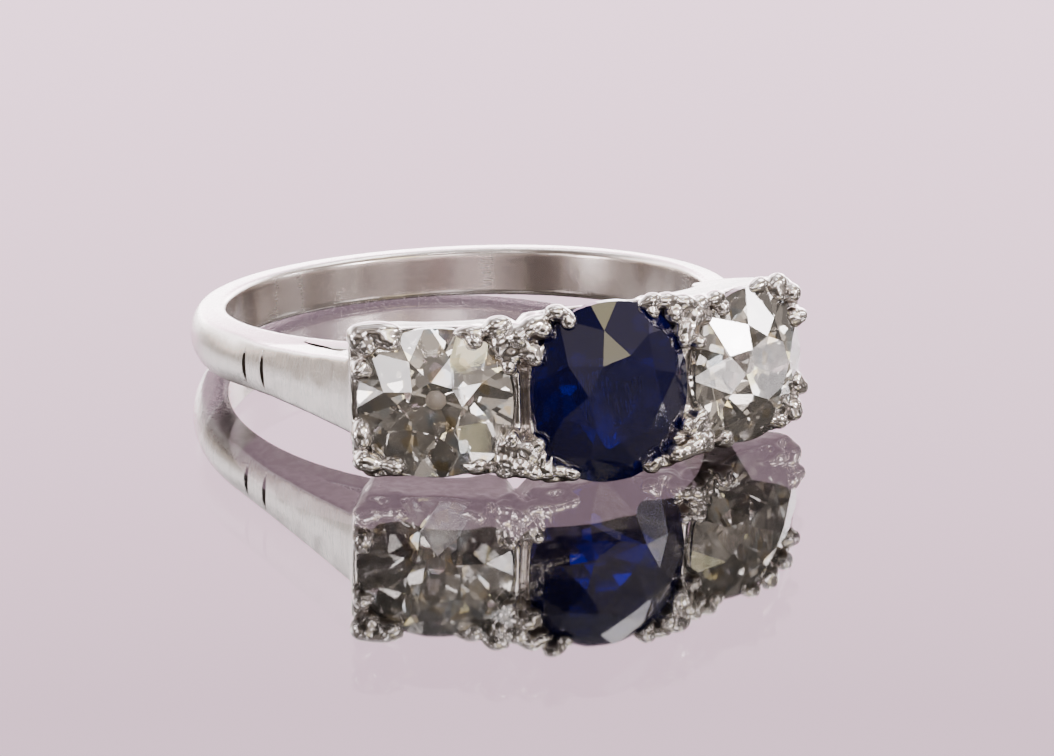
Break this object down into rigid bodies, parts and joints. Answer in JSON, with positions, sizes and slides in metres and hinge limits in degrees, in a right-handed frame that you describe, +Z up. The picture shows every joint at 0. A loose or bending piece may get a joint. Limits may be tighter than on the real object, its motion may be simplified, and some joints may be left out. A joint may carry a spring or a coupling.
{
  "type": "sapphire and diamond ring",
  "caption": "Finger ring lying on its side: an oval sapphire between old-cut diamonds in claw settings, on a tapering band with flared, cut shoulders.",
  "frame": {"origin": "on the surface that the ring lies on, under the middle of its bounding box", "axes": "+Z up from the surface, -Y towards the stones, +X to the viewer's right when facing the stones"},
  "size_m": [0.0196, 0.0238, 0.006],
  "materials": {
    "white_gold": "satin band, bright claws",
    "sapphire": "faceted, polished",
    "diamond": "faceted, polished"
  },
  "bodies": {
    "root": {"shank_and_setting": "white_gold", "sapphire": "sapphire", "diamond_left": "diamond", "diamond_right": "diamond"}
  },
  "joints": []
}
